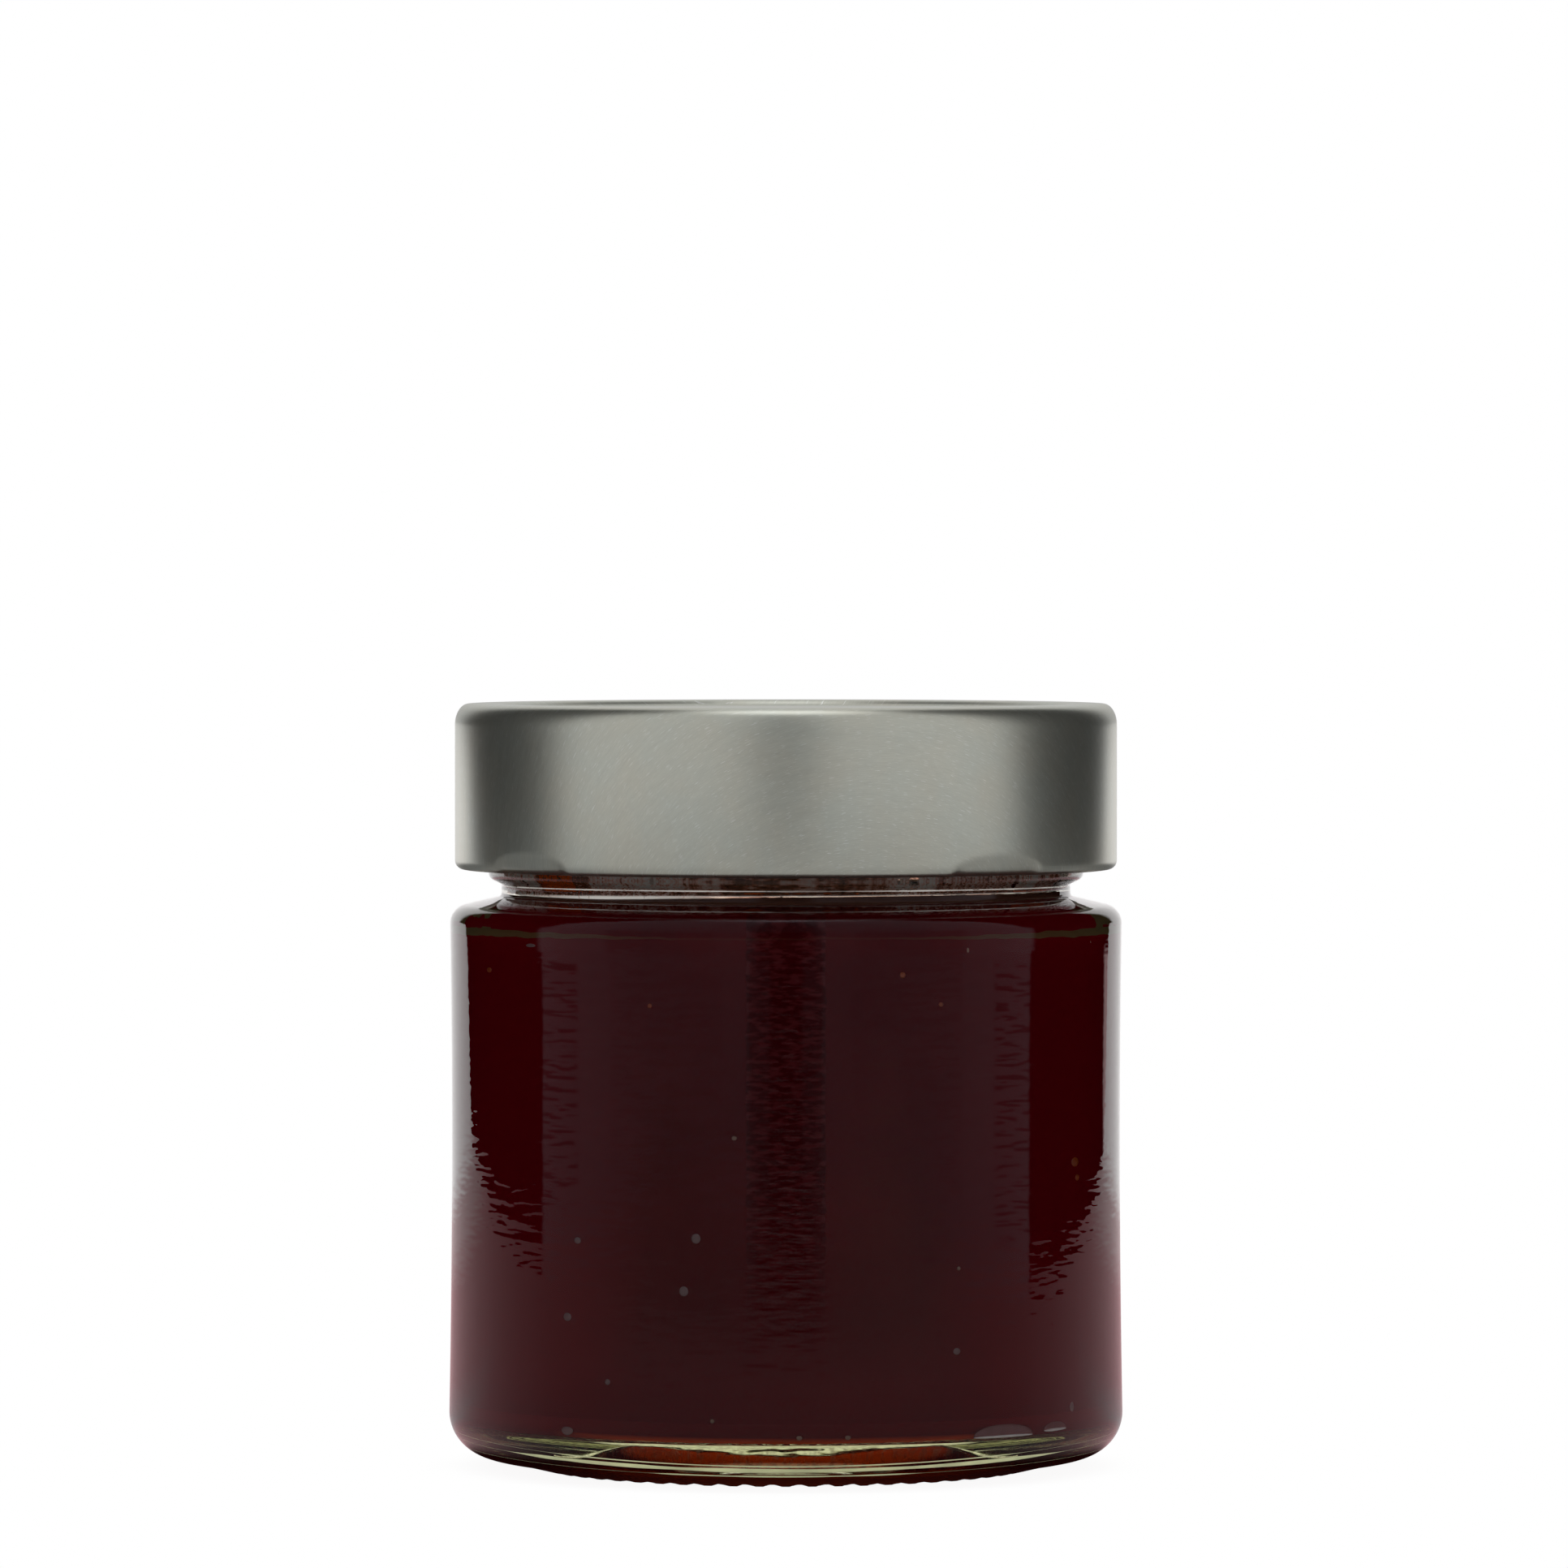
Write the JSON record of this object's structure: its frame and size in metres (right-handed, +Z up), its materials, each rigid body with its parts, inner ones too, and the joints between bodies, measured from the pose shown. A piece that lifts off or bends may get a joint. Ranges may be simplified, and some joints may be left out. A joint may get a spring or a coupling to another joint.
{
  "type": "round glass jar of jam with twist-off cap",
  "caption": "Round clear glass jar of dark berry jam, shut with a plain silver twist-off cap, unlabelled.",
  "frame": {"origin": "centre of the bearing ring, on the surface that the jar stands on", "axes": "+Z up along the jar's axis, -Y to the front"},
  "size_m": [0.0734, 0.0734, 0.0831],
  "materials": {
    "clear_glass": "clear container glass, very slightly green, with soft ripples",
    "dark_jam": "wet dark wine-red jam, smooth against the glass",
    "brushed_tinplate": "satin tinplate with a fine rolled grain"
  },
  "bodies": {
    "root": {"glass_jar": "clear_glass", "jam": "dark_jam", "lid": "brushed_tinplate"}
  },
  "joints": []
}
